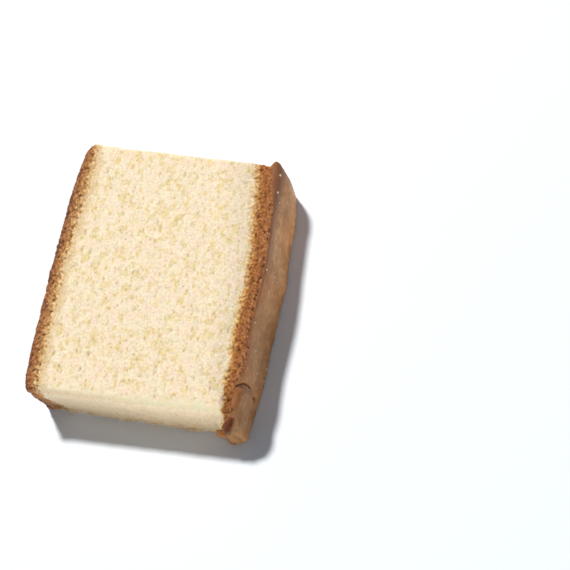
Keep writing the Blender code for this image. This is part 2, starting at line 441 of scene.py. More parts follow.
    def relief(self, points: Array, facing: dict[Side, Array], inwards: Array) -> Array:
        """How far the surface stands out of the smooth form.

        Args:
            points: points of the smooth form.
            facing: how much each point belongs to each side.
            inwards: how far each point lies in from the top skin.

        Returns:
            The height at each point.
        """
        band = np.maximum(smooth(self.crust_band, 0, points[:, X]), smooth(self.skin_band, 0, inwards))
        depth = self.crumb_relief + (self.band_relief - self.crumb_relief) * band
        depth += (self.low_relief - depth) * smooth(self.low_band, 0, points[:, Z])
        crumb = depth * lumps(points, self.crumb_grain, self.seeds[0])
        crust = self.crust_relief * lumps(points, self.crust_grain, self.seeds[1])
        skin = self.skin_relief * lumps(points, self.skin_grain, self.seeds[2]) + self.flap.lift(points)
        return facing[Side.CUT] * crumb + facing[Side.CRUST] * crust + facing[Side.SKIN] * skin


@dataclass(frozen=True)
class Grain:
    """An unevenness: how large its lumps are, how strong it is and how finely broken up."""

    size: float
    strength: float
    detail: float = 2.0


@dataclass(frozen=True)
class Spots:
    """Soft spots: how large they are, where in the noise their rim lies and how finely broken up."""

    size: float
    rim: Pair
    detail: float = 2.0


@dataclass(frozen=True)
class Pores:
    """Pores: the share of places that have one, the widest's radius and how they are drawn out."""

    filled: float
    widest: float
    stretch: Triple = (1.0, 1.0, 1.0)


class Tree:
    """A node tree, of a material or of Geometry Nodes, that is built in few words."""

    def __init__(self, tree: bpy.types.NodeTree, sizes: Any = None) -> None:
        """Starts on an empty tree.

        Args:
            tree: the tree.
            sizes: the dataclass whose numbers it uses.
        """
        self.tree = tree
        self.values = vars(sizes) if sizes else {}
        tree.nodes.clear()

    def size(self, name: str) -> Number:
        """One of the sizes."""
        return self.values[name]

    def attribute(self, name: str) -> Socket:
        """A number that each point of the piece carries."""
        return self.node("ShaderNodeAttribute", attribute_name=name).outputs["Fac"]

    def node(self, kind: str, inputs: dict[str | int, Any] | None = None, **settings: Any) -> bpy.types.Node:
        """Makes one node.

        Args:
            kind: Blender's name for it.
            inputs: what each input takes, by name or place: a number, a tuple or another node's output.
            settings: the node's own settings.

        Returns:
            The node.
        """
        made = self.tree.nodes.new(kind)
        for name, value in settings.items():
            setattr(made, name, value)
        for name, value in (inputs or {}).items():
            socket = made.inputs[name] if isinstance(name, int) else live(made.inputs, name)
            if isinstance(value, Socket):
                self.tree.links.new(value, socket)
            else:
                socket.default_value = value
        return made

    def math(self, operation: str, *values: Number) -> Socket:
        """One number worked out from others."""
        return self.node("ShaderNodeMath", dict(enumerate(values)), operation=operation).outputs[0]

    def folded(self, operation: str, values: tuple[Number, ...]) -> Socket:
        """One number worked out from several, two at a time."""
        return reduce(lambda first, second: self.math(operation, first, second), values)

    def total(self, *values: Number) -> Socket:
        """The sum of several numbers."""
        return self.folded("ADD", values)

    def product(self, *values: Number) -> Socket:
        """The product of several numbers."""
        return self.folded("MULTIPLY", values)

    def largest(self, *values: Number) -> Socket:
        """The largest of several numbers."""
        return self.folded("MAXIMUM", values)

    def grown(self, share: Socket, strength: Number) -> Socket:
        """A factor that goes from 1 to 1 + strength as share goes from 0 to 1."""
        return self.math("MULTIPLY_ADD", share, strength, 1.0)

    def vectors(self, operation: str, first: Socket, second: Triple | Socket) -> Socket:
        """One vector worked out from two, part by part."""
        return self.node("ShaderNodeVectorMath", {0: first, 1: second}, operation=operation).outputs[0]

    def stretched(self, vector: Socket, factors: Triple) -> Socket:
        """A vector with each part multiplied by its own factor."""
        return self.vectors("MULTIPLY", vector, factors)

    def scaled(self, vector: Socket, factor: Number) -> Socket:
        """A vector times a number."""
        return self.node("ShaderNodeVectorMath", {0: vector, "Scale": factor}, operation="SCALE").outputs[0]

    def parts(self, vector: Socket) -> bpy.types.NodeOutputs:
        """A vector's three parts."""
        return self.node("ShaderNodeSeparateXYZ", {0: vector}).outputs

    def rise(self, value: Socket, start: Any, end: Any, low: Any = 0.0, high: Any = 1.0) -> Socket:
        """A smooth rise from low to high as value goes from start to end."""
        inputs = {"Value": value, "From Min": start, "From Max": end, "To Min": low, "To Max": high}
        return self.node("ShaderNodeMapRange", inputs, interpolation_type="SMOOTHSTEP").outputs[0]

    def noise(self, where: Socket, size: Number, detail: float = 2.0) -> Socket:
        """Soft noise about 0, from -0.5 to 0.5, with lumps of that size."""
        inputs = {"Vector": self.over(where, size), "Scale": 1.0, "Detail": detail}
        return self.math("SUBTRACT", self.node("ShaderNodeTexNoise", inputs).outputs[0], 0.5)

    def grain(self, where: Socket, grain: Grain, *factors: Number) -> Socket:
        """An unevenness about 0, times any further factors."""
        return self.product(self.noise(where, grain.size, grain.detail), grain.strength, *factors)

    def spots(self, where: Socket, spots: Spots, high: float = 1.0) -> Socket:
        """A number that goes from 0 between soft spots to high in them."""
        return self.rise(self.noise(where, spots.size, spots.detail), *spots.rim, 0.0, high)

    def over(self, where: Socket, size: Number) -> Socket:
        """A place measured in units of that size."""
        return self.scaled(where, self.math("DIVIDE", 1.0, size))

    def pores(self, where: Socket, size: Number, kind: Pores) -> Socket:
        """Round pores of uneven width, from 0 between them to 1 in their middle.

        Args:
            where: the place, in metres.
            size: how far apart the pores are.
            kind: their kind.

        Returns:
            The depth.
        """
        drawn = self.over(self.stretched(where, kind.stretch), size)
        cells = self.node("ShaderNodeTexVoronoi", {"Vector": drawn, "Scale": 1.0})
        chance = self.parts(cells.outputs["Color"])
        least = LEAST_PORE * kind.widest
        radius = self.math("MULTIPLY_ADD", chance[0], kind.widest - least, least)
        present = self.math("LESS_THAN", chance[1], kind.filled)
        return self.product(self.rise(cells.outputs["Distance"], radius, 0.0), present)

    def mixed(self, share: Number, first: Any, second: Any) -> Socket:
        """One colour, going over to a second as share goes from 0 to 1."""
        inputs = {"Factor": share, "A": opaque(first), "B": opaque(second)}
        return live(self.node("ShaderNodeMix", inputs, data_type="RGBA").outputs, "Result")

    def ramp(self, value: Socket, stops: Scale) -> Socket:
        """A colour read off a scale.

        Args:
            value: the place on the scale.
            stops: places on it, in rising order, and the colour at each.

        Returns:
            The colour.
        """
        last = stops[-1][0]
        made = self.node("ShaderNodeValToRGB", {0: self.math("DIVIDE", value, last)})
        scale = made.color_ramp.elements
        for place, colour in stops[1:-1]:
            scale.new(place / last).color = opaque(colour)
        scale[0].color = opaque(stops[0][1])
        scale[-1].color = opaque(stops[-1][1])
        return made.outputs[0]


def live(sockets: Any, name: str) -> Socket:
    """The socket of that name that a node's settings leave in use."""
    return next(socket for socket in sockets if socket.name == name and socket.enabled)


def opaque(colour: Any) -> Any:
    """A colour with its opacity, or a socket as it is."""
    return colour if isinstance(colour, Socket) else (*colour, 1.0)


class GeometryTree(Tree):
    """A Geometry Nodes tree whose named inputs are the fields of a dataclass of sizes."""

    def __init__(self, name: str, sizes: Any) -> None:
        """Starts a tree.

        Args:
            name: the tree's name.
            sizes: the dataclass whose numbers become its inputs.
        """
        super().__init__(bpy.data.node_groups.new(name, "GeometryNodeTree"), sizes)
        interface = self.tree.interface
        interface.new_socket("Geometry", in_out="INPUT", socket_type="NodeSocketGeometry")
        interface.new_socket("Geometry", in_out="OUTPUT", socket_type="NodeSocketGeometry")
        self.sockets = {
            name: interface.new_socket(name.replace("_", " "), in_out="INPUT", socket_type="NodeSocketFloat")
            for name in self.values
        }
        self.start = self.node("NodeGroupInput").outputs

    def size(self, name: str) -> Number:
        """The input that holds one of the sizes."""
        return self.start[name.replace("_", " ")]

    def attribute(self, name: str) -> Socket:
        """A number that each point of the mesh carries."""
        return self.node("GeometryNodeInputNamedAttribute", {"Name": name}, data_type="FLOAT").outputs[0]

    def finish(self, geometry: Socket, materials: Finishes) -> None:
        """Ends the tree: instances made real, and each side's material set.

        Args:
            geometry: what has been made so far.
            materials: the material of each side; the cut's is on everything that has no other.
        """
        last = self.node("GeometryNodeRealizeInstances", {"Geometry": geometry}).outputs[0]
        for side, material in materials.items():
            inputs: dict[str | int, Any] = {"Geometry": last, "Material": material}
            if side is not Side.CUT:
                inputs["Selection"] = self.math("GREATER_THAN", self.attribute(side.value), 0.5)
            last = self.node("GeometryNodeSetMaterial", inputs).outputs[0]
        self.node("NodeGroupOutput", {0: last})

    def applied(self, piece: Piece) -> Mesh:
        """Runs the tree on a piece and takes it off again.

        Args:
            piece: the object whose mesh it starts from.

        Returns:
            The result as a plain mesh.
        """
        modifier = piece.modifiers.new(self.tree.name, "NODES")
        modifier.node_group = self.tree
        for name, socket in self.sockets.items():
            modifier[socket.identifier] = self.values[name]
        graph = bpy.context.evaluated_depsgraph_get()
        mesh = bpy.data.meshes.new_from_object(piece.evaluated_get(graph), depsgraph=graph)
        piece.modifiers.remove(modifier)
        return mesh


@dataclass(frozen=True)
class CrumbSizes:
    """Where the crumb's pores and tears lie and how deep they are, for its relief and its finish."""

    lean_size: float = 2.4 * MM
    lean_reach: float = 0.9 * MM
    patch_size: float = 2.4 * MM
    pore_size: float = 1.60 * MM
    pore_depth: float = 0.32 * MM
    small_pore_size: float = 1.0 * MM
    small_pore_depth: float = 0.12 * MM
    band_pore_size: float = 1.40 * MM
    band_pore_depth: float = 0.45 * MM
    tear_size: float = 5.2 * MM
    tear_depth: float = 0.45 * MM
    grain_size: float = 0.9 * MM
    grain_depth: float = 0.09 * MM
    fibre_size: float = 1.1 * MM
    fibre_depth: float = 0.08 * MM
    ragged_size: float = 1.9 * MM
    ragged_depth: float = 1.6 * MM
    wrinkle_size: float = 2.2 * MM
    wrinkle_depth: float = 0.30 * MM
    ripple_size: float = 4.0 * MM
    ripple_depth: float = 0.07 * MM


class CrumbPattern:
    """The crumb's pores and tears at a place, worked out alike for geometry and for colour."""

    pores: Pores = Pores(0.9, 0.63, (1.25, 0.8, 1.0))
    small_pores: Pores = Pores(0.8, 0.6)
    tears: Pores = Pores(0.35, 0.36, (1.7, 0.75, 1.0))
    patch_stretch: Triple = (1.2, 0.8, 1.0)
    crowding: tuple[float, ...] = (-0.10, 0.12, 0.30, 1.0)
    band_stretch: Triple = (1.2, 0.9, 1.0)
    band_rim: Pair = (0.0, 0.2)

    def __init__(self, tree: Tree, place: Socket) -> None:
        """Lays out the pattern's nodes.

        Args:
            tree: the tree that needs it, which knows the crumb's sizes.
            place: the place on the slice's form before any pore was cut.
        """
        lean = tree.node("ShaderNodeTexNoise", {
            "Vector": tree.over(place, tree.size("lean_size")), "Scale": 1.0}).outputs[1]
        self.bent = tree.vectors("ADD", place, tree.scaled(lean, tree.size("lean_reach")))
        self.patch = tree.noise(tree.stretched(place, self.patch_stretch), tree.size("patch_size"))
        self.pore = tree.product(
            tree.pores(self.bent, tree.size("pore_size"), self.pores), tree.rise(self.patch, *self.crowding))
        self.small_pore = tree.pores(self.bent, tree.size("small_pore_size"), self.small_pores)
        band_pore = tree.noise(tree.stretched(self.bent, self.band_stretch), tree.size("band_pore_size"))
        self.band_pore = tree.rise(band_pore, *self.band_rim)
        self.tear = tree.pores(self.bent, tree.size("tear_size"), self.tears)


class SliceRelief:
    """The fine relief: pores and tears of the crumb, wrinkles of the crust, ripples of the skin."""

    band: Pair = (1.1, 0.7)
    end_pits: float = -0.45
    fibre_stretch: Triple = (1.0, 1.0, 0.2)
    foot_z: Pair = (9 * MM, 2 * MM)
    fold_stretch: Triple = (1.0, 0.6, 1.6)
    fold_width: float = 0.08
    pore_share: float = 0.5
    lowest: Triple = (-1.0, -1.0, 0.0)

    def __init__(self, sizes: CrumbSizes) -> None:
        """Starts on the relief's tree."""
        self.tree = GeometryTree("slice_relief", sizes)
        self.place = self.tree.node("GeometryNodeInputPosition").outputs[0]
        self.pattern = CrumbPattern(self.tree, self.place)

    def lumps(self, name: str, where: Socket, *factors: Socket, detail: float = 2.0) -> Socket:
        """The height of soft lumps whose size and depth go by that name, times any further factors."""
        lumps = self.tree.noise(where, self.tree.size(name + "_size"), detail)
        return self.tree.product(lumps, *factors, self.tree.size(name + "_depth"))

    def crumb(self) -> Socket:
        """The height of a cut face.

        Returns:
            The height, of which pores and tears take away.
        """
        tree, pattern = self.tree, self.pattern
        end_cut = tree.attribute("end_cut")
        share = tree.math("MINIMUM", tree.attribute("crust_share"), tree.attribute("skin_share"))
        pits = tree.product(tree.grown(end_cut, self.end_pits), tree.total(
            tree.product(pattern.pore, tree.size("pore_depth")),
            tree.product(pattern.small_pore, tree.size("small_pore_depth")),
            tree.product(pattern.band_pore, tree.rise(share, *self.band), tree.size("band_pore_depth")),
            tree.product(pattern.tear, tree.size("tear_depth")),
        ))
        foot = tree.rise(tree.parts(self.place)[Z], *self.foot_z)
        return tree.math("SUBTRACT", tree.total(
            self.lumps("grain", pattern.bent),
            self.lumps("fibre", tree.stretched(self.place, self.fibre_stretch), end_cut),
            self.lumps("ragged", self.place, foot, end_cut, detail=FINE),
        ), pits)

    def crust(self) -> Socket:
        """The height of the bottom crust.

        Returns:
            The height, 0 or less.
        """
        tree, pattern = self.tree, self.pattern
        folds = tree.noise(tree.stretched(pattern.bent, self.fold_stretch), tree.size("wrinkle_size"), FINE)
        crease = tree.rise(tree.math("ABSOLUTE", folds), self.fold_width, 0.0)
        depth = tree.total(crease, tree.product(pattern.small_pore, self.pore_share))
        return tree.product(depth, tree.size("wrinkle_depth"), -1.0)

    def skin(self) -> Socket:
        """The height of the top skin."""
        return self.lumps("ripple", self.place)

    def applied(self, piece: Piece, materials: Finishes) -> Mesh:
        """Cuts the relief into a piece.

        Args:
            piece: the slice as it is without it.
            materials: the material of each side.

        Returns:
            The mesh, which remembers each point's place before the relief as "rest".
        """
        tree = self.tree
        height = tree.total(
            tree.product(self.crumb(), tree.attribute(Side.CUT.value)),
            tree.product(self.crust(), tree.attribute(Side.CRUST.value)),
            tree.product(self.skin(), tree.attribute(Side.SKIN.value)),
        )
        noted = tree.node("GeometryNodeStoreNamedAttribute", {
            "Geometry": tree.start[0], "Name": "rest", "Value": self.place}, data_type="FLOAT_VECTOR")
        offset = tree.scaled(tree.node("GeometryNodeInputNormal").outputs[0], height)
        moved = tree.node("GeometryNodeSetPosition", {"Geometry": noted.outputs[0], "Offset": offset})
        rested = tree.node("GeometryNodeSetPosition", {
            "Geometry": moved.outputs[0], "Position": tree.vectors("MAXIMUM", self.place, self.lowest)})
        tree.finish(rested.outputs[0], materials)
        return tree.applied(piece)


@dataclass(frozen=True)
class Finish:
    """A finish of the slice: what its shader holds, and how its colour is worked out."""

    roughness: float = 0.85
    specular: float = 0.3
    softness: float = 0.35
    soft_reach: float = 1.4 * MM
    soft_spread: Colour = (1.0, 0.65, 0.35)
    grit_size: float = 0.45 * MM
    grit: float = 0.25
    grit_height: float = 0.2 * MM
    # How unevenly the painted shade of the hollow, crease and pit ends.
    scorched: Grain = Grain(0.9 * MM, 2.2)
    sizes: CrumbSizes = CrumbSizes()

    def material(self, name: str) -> Material:
        """Builds the material.

        Args:
            name: its name.

        Returns:
            The material.
        """
        made = bpy.data.materials.new(name)
        made.use_nodes = True
        tree = Tree(made.node_tree, self.sizes)
        place = self.place(tree)
        colour, roughness, height = self.look(tree, place)
        rough = tree.total(tree.noise(place, self.grit_size, FINE), height)
        bump = tree.node("ShaderNodeBump", {
            "Strength": self.grit, "Distance": self.grit_height, "Height": rough})
        shader = tree.node("ShaderNodeBsdfPrincipled", {
            "Base Color": colour,
            "Roughness": roughness,
            "Specular IOR Level": self.specular,
            "Subsurface Weight": self.softness,
            "Subsurface Radius": self.soft_spread,
            "Subsurface Scale": self.soft_reach,
            "Normal": bump.outputs[0],
        })
        tree.node("ShaderNodeOutputMaterial", {"Surface": shader.outputs[0]})
        return made

    def place(self, tree: Tree) -> Socket:
        """Where a point of the slice lay before its fine relief was cut."""
        return tree.node("ShaderNodeAttribute", attribute_name="rest").outputs["Vector"]

    def scorch(self, tree: Tree, place: Socket) -> Socket:
        """How deep in painted recess shade a place is, unevenly."""
        return tree.product(tree.attribute("burnt"), tree.total(1.0, tree.grain(place, self.scorched)))

    def look(self, tree: Tree, place: Socket) -> Look:
        """The colour, the roughness and the finest relief at a place."""
        raise NotImplementedError


@dataclass(frozen=True)
class CrumbFinish(Finish):
    """Cream crumb browned in bands along both crusts; yellower painted shade in its pores, painted shading on
    its end cuts.
    """

    cream: Colour = (0.878, 0.744, 0.533)
    blush: Colour = (0.896, 0.728, 0.540)
    yellow: Colour = (0.775, 0.611, 0.284)
    # Painted shade inside the crumb's pores, and in sparse deeper pores.
    pit: Colour = (0.595, 0.450, 0.222)
    deep_pit: Colour = (0.360, 0.240, 0.100)
    # Painted shading of the end cuts by height: dark at the foot, brighter than the crumb at the top.
    dry: Scale = (
        (0.0, (0.315, 0.218, 0.116)),
        (4 * MM, (0.405, 0.288, 0.159)),
        (8 * MM, (0.503, 0.368, 0.213)),
        (14 * MM, (0.650, 0.494, 0.303)),
        (19 * MM, (0.800, 0.626, 0.402)),
        (21.5 * MM, (0.960, 0.763, 0.500)),
        (25 * MM, (0.975, 0.780, 0.512)),
    )
    # Colour at the end cuts' foot: partly painted shade, partly browned crumbs.
    toasted: Colour = (0.420, 0.280, 0.140)
    lip: Colour = (0.500, 0.200, 0.065)
    # Painted shade in the bands' open pores, over their browning.
    burnt_pit: Colour = (0.130, 0.042, 0.012)
    # Painted shade in the hollow and in the crease above the ledge, dark red-brown.
    burnt: Colour = (0.250, 0.065, 0.020)
    crust_band: Scale = (
        (0.00, (0.120, 0.046, 0.018)),
        (0.10, (0.185, 0.074, 0.028)),
        (0.22, (0.335, 0.134, 0.046)),
        (0.45, (0.415, 0.183, 0.057)),
        (0.65, (0.545, 0.298, 0.100)),
        (0.85, (0.690, 0.475, 0.230)),
        (1.10, (0.755, 0.575, 0.340)),
        (1.40, (0.820, 0.680, 0.462)),
    )
    skin_band: Scale = (
        (0.00, (0.400, 0.162, 0.058)),
        (0.20, (0.370, 0.142, 0.043)),
        (0.45, (0.337, 0.116, 0.025)),
        (0.58, (0.407, 0.164, 0.037)),
        (0.70, (0.545, 0.272, 0.080)),
        (0.86, (0.665, 0.440, 0.178)),
        (1.00, (0.740, 0.565, 0.325)),
        (1.40, (0.780, 0.655, 0.465)),
    )
    crust_ragged: tuple[Grain, Grain] = (Grain(3.4 * MM, 0.75, FINE), Grain(1.1 * MM, 0.5))
    skin_ragged: tuple[Grain, Grain] = (Grain(3.4 * MM, 0.45, FINE), Grain(1.1 * MM, 0.35))
    browned_share: Pair = (1.1, 0.7)
    golden_share: Pair = (1.4, 1.2)
    # Painted shade of the bands towards the end cuts' foot.
    foot_dark: float = -0.5
    foot_dark_z: Pair = (4 * MM, 20 * MM)
    walls: Spots = Spots(1.0 * MM, (-0.15, 0.2), FINE)
    shade: Colour = (0.80, 0.72, 0.62)
    glint: Colour = (1.40, 1.58, 1.90)
    pore_shade: float = 0.9
    small_pore_shade: float = 0.45
    band_pits: float = 0.7
    band_darkness: float = 0.8
    band_opens: tuple[float, ...] = (1.0, 0.55, 0.25, 1.0)

    mottled: Spots = Spots(2.6 * MM, (-0.12, 0.12))
    patched: tuple[float, ...] = (-0.04, 0.20, 0.0, 0.85)
    pitted: float = 0.85
    sparse: Pores = Pores(0.45, 0.24)
    sparse_size: float = 2.6 * MM
    spotted: float = 0.7
    speckled: Grain = Grain(0.90 * MM, 0.6, FINE)
    dim: float = 0.89
    dim_share: Pair = (1.0, 2.3)
    # Painted highlight along the rolled near edge: brighter crumb, with fainter pits, patches and speckle.
    fringe: float = 0.14
    fringe_pale: float = -0.55

    # How much of the end cuts' colour is that painted shading, which is also painted darker towards the
    # bottom crust.
    dried: float = 0.85
    shaded: float = 0.75
    shaded_x: Pair = (-40 * MM, 15 * MM)
    # Ragged edge and height of the end cuts' browner foot, partly painted shade.
    foot: Grain = Grain(2.0 * MM, 6.0 * MM, FINE)
    toasted_z: Pair = (3.5 * MM, 0.5 * MM)
    fibre_stretch: Triple = (1.0, 1.0, 0.25)
    streaked: float = 0.2
    crease_lip: Pair = (0.34, 0.40)
    ledge_lip: Pair = (0.42, 0.48)
    # Where the painted shade of the hollow sets in.
    burnt_from: Pair = (0.15, 0.8)
    sunk: float = -0.5

    def look(self, tree: Tree, place: Socket) -> Look:
        """How the surface looks at a place.

        Args:
            tree: the material's tree.
            place: the place.

        Returns:
            The colour, the roughness and the height of the finest relief there.
        """
        pattern = CrumbPattern(tree, place)
        pits = tree.largest(
            tree.product(pattern.pore, self.pore_shade),
            tree.product(pattern.small_pore, self.small_pore_shade), pattern.tear)
        end_cut = tree.attribute("end_cut")
        # Pits, patches and speckle fade on the painted highlight along the rolled near edge.
        inner = tree.grown(tree.attribute("fringe"), self.fringe_pale)
        crust_share, skin_share, band = self.band(tree, place)
        least_share = tree.math("MINIMUM", crust_share, skin_share)
        # The bands' open pores: painted shade over the browning.
        opened = tree.product(
            tree.largest(pattern.band_pore, tree.product(pits, self.band_pits)),
            tree.rise(least_share, *self.band_opens), self.band_darkness)
        walls = tree.mixed(
            tree.spots(place, self.walls), tree.stretched(band, self.shade), tree.stretched(band, self.glint))
        brown = tree.mixed(opened, walls, self.burnt_pit)
        golden = tree.product(tree.rise(crust_share, *self.golden_share), tree.grown(end_cut, -1.0))
        crumb = tree.mixed(golden, self.crumb(tree, place, pattern, pits, inner), band)
        # Browner at the end cuts' foot: partly painted shade, partly browned crumbs.
        toasted = tree.rise(tree.total(tree.parts(place)[Z], tree.grain(place, self.foot)), *self.toasted_z)
        plain = tree.mixed(tree.product(toasted, end_cut), crumb, self.toasted)
        browned = tree.mixed(tree.rise(least_share, *self.browned_share), plain, brown)
        fibre = tree.noise(tree.stretched(place, self.fibre_stretch), tree.size("fibre_size"))
        grain = tree.total(
            1.0, tree.grain(place, self.speckled, inner), tree.product(fibre, end_cut, self.streaked))
        colour = tree.scaled(self.marked(tree, place, browned), grain)
        return colour, self.roughness, tree.product(pits, self.sunk)

    def band(self, tree: Tree, place: Socket) -> tuple[Socket, Socket, Socket]:
        """The browning along both crusts.

        Args:
            tree: the material's tree.
            place: the place.

        Returns:
            How far in from the crust and from the skin it lies, raggedly, and the colour there, with painted
            shade towards the end cuts' foot.
        """
        crust_share, skin_share = (
            tree.total(tree.attribute(name), *(tree.grain(place, grain) for grain in ragged))
            for name, ragged in (("crust_share", self.crust_ragged), ("skin_share", self.skin_ragged)))
        colour = tree.mixed(
            tree.math("LESS_THAN", skin_share, crust_share),
            tree.ramp(crust_share, self.crust_band), tree.ramp(skin_share, self.skin_band))
        # Painted shade: the bands darken towards the end cuts' foot.
        foot = tree.rise(tree.parts(place)[Z], *self.foot_dark_z, self.foot_dark, 0.0)
        return crust_share, skin_share, tree.scaled(colour, tree.grown(tree.attribute("end_cut"), foot))

    def crumb(self, tree: Tree, place: Socket, pattern: CrumbPattern, pits: Socket, inner: Socket) -> Socket:
        """The colour of the crumb between both bands.

        Args:
            tree: the material's tree.
            place: the place.
            pattern: the crumb's pattern there.
            pits: how deep in a pit it lies.
            inner: 1 away from the painted highlight on the rolled near edge, less on it.

        Returns:
            The colour.
        """
        mottled = tree.mixed(tree.spots(place, self.mottled), self.cream, self.blush)
        yellowed = tree.mixed(
            tree.product(tree.rise(pattern.patch, *self.patched), inner), mottled, self.yellow)
        # Painted shade in the pores, and in sparse deeper pores that have no relief of their own.
        pitted = tree.mixed(tree.product(pits, self.pitted, inner), yellowed, self.pit)
        sparse = tree.product(tree.pores(place, self.sparse_size, self.sparse), self.spotted)
        dim = tree.rise(tree.attribute("skin_share"), *self.dim_share, self.dim, 1.0)
        unshaded_crumb = tree.scaled(tree.mixed(sparse, pitted, self.deep_pit), dim)
        across, _, height = tree.parts(place)
        # Painted shading on the end cuts: dark at the foot, darker towards the bottom crust, bright at the
        # top.
        dry = tree.scaled(tree.ramp(height, self.dry), tree.rise(across, *self.shaded_x, self.shaded, 1.0))
        cut = tree.mixed(tree.product(tree.attribute("end_cut"), self.dried), unshaded_crumb, dry)
        # Painted highlight: brighter crumb along the rolled near edge.
        return tree.scaled(cut, tree.grown(tree.attribute("fringe"), self.fringe))

    def marked(self, tree: Tree, place: Socket, colour: Socket) -> Socket:
        """A colour with the ledge at the flap's foot laid over it, and painted shade in the crease above the
        ledge and in the hollow.

        Args:
            tree: the material's tree.
            place: the place.
            colour: the colour without them.

        Returns:
            The colour with them.
        """
        lip = tree.attribute("lip")
        # Painted shade in the crease above the ledge.
        creased = tree.mixed(tree.rise(lip, *self.crease_lip), colour, self.burnt)
        ledge = tree.mixed(tree.rise(lip, *self.ledge_lip), creased, self.lip)
        # Painted shade in the hollow.
        return tree.mixed(tree.rise(self.scorch(tree, place), *self.burnt_from), ledge, self.burnt)


@dataclass(frozen=True)
class SpeckFinish(Finish):
    """Plain pale crumb, for the loose crumbs."""

    pale: Colour = (0.80, 0.70, 0.54)
    golden: Colour = (0.66, 0.48, 0.26)
    spots: Spots = Spots(2 * MM, (-0.1, 0.2))

    def place(self, tree: Tree) -> Socket:
        """Where a point lies on its piece."""
        return tree.node("ShaderNodeTexCoord").outputs["Object"]

    def look(self, tree: Tree, place: Socket) -> Look:
        """The colour, the roughness and the finest relief at a place."""
        return tree.mixed(tree.spots(place, self.spots), self.pale, self.golden), self.roughness, 0.0


@dataclass(frozen=True)
class CrustFinish(Finish):
    """Dark matte bottom crust, golden at its rim, with light scuffs."""

    dark: Colour = (0.10, 0.038, 0.016)
    worn: Colour = (0.20, 0.085, 0.030)
    scuffed: Colour = (0.36, 0.17, 0.06)
    golden: Colour = (0.40, 0.18, 0.06)
    patches: Spots = Spots(6 * MM, (-0.15, 0.18), 4.0)
    scuffs: Spots = Spots(1.3 * MM, (0.10, 0.28), FINE)
    scuff: float = 0.5
    rim: Grain = Grain(2.5 * MM, 4.5 * MM)
    rim_width: Pair = (2.2 * MM, 0.2 * MM)
    gilded: float = 0.7

    def look(self, tree: Tree, place: Socket) -> Look:
        """How the surface looks at a place.

        Args:
            tree: the material's tree.
            place: the place.

        Returns:
            The colour, the roughness and the height of the finest relief there.
        """
        body = tree.mixed(tree.spots(place, self.patches), self.dark, self.worn)
        scuffed = tree.mixed(tree.spots(place, self.scuffs, self.scuff), body, self.scuffed)
        from_edge = tree.total(tree.attribute("from_edge"), tree.grain(place, self.rim))
        rim = tree.rise(from_edge, *self.rim_width, 0.0, self.gilded)
        return tree.mixed(rim, scuffed, self.golden), self.roughness, 0.0


